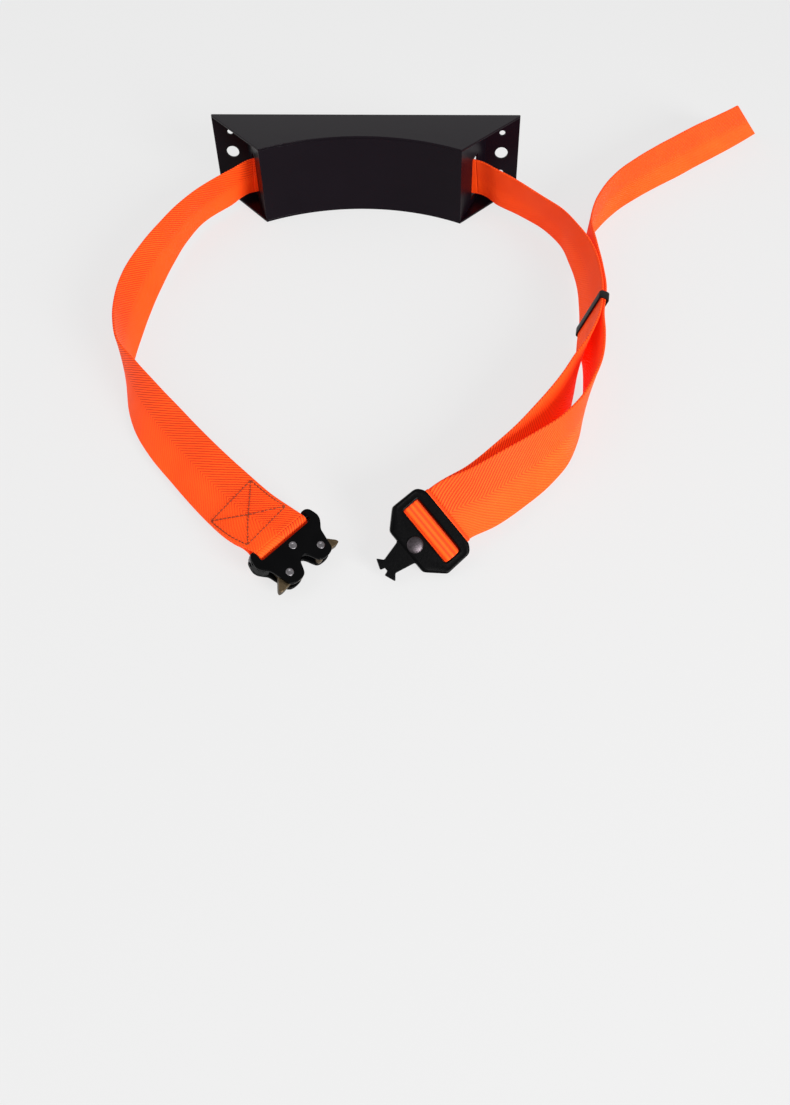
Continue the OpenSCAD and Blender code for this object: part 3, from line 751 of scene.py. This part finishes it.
# ---------------------------------------------------------------------------
# Rivets, bars and springs: bright steel. Two rivets are the latches' pivots and
# one ties the buckle's rear; the bars and springs keep their plain shapes.
# ---------------------------------------------------------------------------
bright, tree, shader = new_material("turned_steel")
scuff = grain(tree, 500.0, 4.0, 0.7)
shader.inputs["Metallic"].default_value = 1.0
coloured(tree, shader, scuff, (0.07, 0.066, 0.07, 1), (0.22, 0.21, 0.22, 1))
roughened(tree, shader, scuff, 0.35, 0.18)
dimpled(tree, shader, scuff, 0.3, 0.0001)


def turned(name, profile, at_local, axes, at, body, replaced, steel):
    """A profile (r, z) in millimetres turned once round its own upright axis, as the points
    (r cos a, r sin a, z) at 48 angles a."""
    profile = np.array(profile, float)
    angle = np.linspace(0, 2 * np.pi, 48, endpoint=False)
    ring = np.stack((profile[:, None, 0] * np.cos(angle), profile[:, None, 0] * np.sin(angle),
                     np.broadcast_to(profile[:, None, 1], (len(profile), len(angle)))), -1)
    points, faces = closed_tube((ring + np.array(at_local)) / 1000)
    piece(name, points @ axes.T + at, faces, body, steel, "bare_steel", replaced)


rivet_profile = [
    (0.02, -11.6), (1.9, -11.6), (2.3, -11.45), (2.4, -11.2), (2.4, -11.02), (1.8, -11.0),
    (1.8, 0.0), (2.4, 0.02), (2.4, 0.2), (2.3, 0.42), (2.0, 0.55), (1.2, 0.6), (1.1, 0.5),
    (0.5, 0.45), (0.02, 0.45)]
for name, spot in (("pivot_rivet_left", (4.2, 12.8, 0)), ("pivot_rivet_right", (4.2, -12.8, 0)),
                   ("rear_rivet", (-6.4, 0, 0))):
    turned("turned_" + name, rivet_profile, spot, female_axes, female_at, "female_buckle", name,
           bright)

for name in ("webbing_bar", "adjuster_bar", "latch_spring_left", "latch_spring_right"):
    dressed(name, bright)

# ---------------------------------------------------------------------------
# Male buckle: a forged black frame with a window for the webbing, and a flat
# tongue with a cut T head, held in the frame's front by a large domed rivet.
# ---------------------------------------------------------------------------
frame_outline = both_sides([(-25.5, 19), (-24.8, 21), (-23, 23.5), (-21, 24.8), (-4.5, 25.2),
                            (-3, 24), (5.5, 16), (6.2, 14.5), (6.2, 0)])


def around(outline, centre, angles):
    """Where rays from a centre at given angles leave an outline: each ray is crossed with
    every side, and the farthest crossing that lies within its side is kept."""
    a, b = outline - centre, np.roll(outline, -1, 0) - centre
    ray = np.column_stack((np.cos(angles), np.sin(angles)))
    edge = b - a
    cross_ray = ray[:, None, 0] * edge[None, :, 1] - ray[:, None, 1] * edge[None, :, 0]
    cross_ray = np.where(np.abs(cross_ray) < 1e-12, 1e-12, cross_ray)
    reach = (a[None, :, 0] * edge[None, :, 1] - a[None, :, 1] * edge[None, :, 0]) / cross_ray
    share = (a[None, :, 0] * ray[:, None, 1] - a[None, :, 1] * ray[:, None, 0]) / cross_ray
    reach = np.where((share >= -1e-6) & (share <= 1 + 1e-6) & (reach > 0), reach, 0)
    return centre + ray * reach.max(axis=1)[:, None]


window = np.array([(-19, -19.6), (-7.2, -19.6), (-7.2, 19.6), (-19, 19.6)])
centre = np.array([-13.1, 0.0])
angles = np.linspace(0, 2 * np.pi, 360, endpoint=False)
inside = around(eased(window, 1.6, 6), centre, angles)
beyond = around(eased(frame_outline, 2.0, 6), centre, angles)
# The section goes up the outside, over a raised rim that is softly hollow, and down the window.
inward = np.array([0.0, 0.0, 0.02, 0.07, 0.14, 0.30, 0.55, 0.78,
                   0.90, 0.97, 1.0, 1.0, 0.97, 0.90, 0.1, 0.03])
levels = np.array([-4.3, -1.3, -0.6, -0.15, 0.0, -0.12, -0.2, -0.12,
                   -0.1, -0.35, -0.9, -4.5, -4.8, -5.0, -5.0, -4.8])
flat = beyond[:, None] + (inside - beyond)[:, None] * inward[None, :, None]
upright = np.broadcast_to(levels[None, :, None], flat.shape[:2] + (1,))
points, faces = closed_ring(np.concatenate((flat, upright), -1) / 1000)
piece("adjuster_frame", points @ male_axes.T + male_at, faces, "male_buckle", alloy,
      "buckle_coat", "male_frame")

tongue_outline = both_sides([(-3, 8.8), (6.2, 8.8), (7, 7.8), (19, 5), (21.7, 8.2), (22.2, 8.2),
                             (24.5, 2), (21.7, 1.2), (21.7, 0)])
slab("buckle_tongue", tongue_outline, -4.1, -0.9, 0.45, male_axes, male_at, "male_buckle", alloy,
     "buckle_coat", "tongue_plate", 0.8)

worn_steel, tree, shader = new_material("worn_steel")
rubbed = grain(tree, 620.0, 5.0, 0.7)
shader.inputs["Metallic"].default_value = 1.0
coloured(tree, shader, rubbed, (0.015, 0.012, 0.014, 1), (0.075, 0.064, 0.070, 1))
roughened(tree, shader, rubbed, 0.4, 0.16)
dimpled(tree, shader, rubbed, 0.5, 0.00015)

head_radius, head_height = 5.0, 1.2
lift = np.radians(np.arange(10, 86, 8))
dome = [(0.02, -5.8), (3.5, -5.8), (3.8, -5.5), (3.8, -5.0), (2.5, -5.0), (2.5, 0.0),
        (head_radius, 0.0), (head_radius, 0.25)]
dome += zip(head_radius * np.cos(lift), 0.35 + head_height * np.sin(lift))
dome += [(0.02, 1.55)]
turned("domed_rivet", dome, (0, 0, 0), male_axes, male_at, "male_buckle", "tongue_rivet",
       worn_steel)
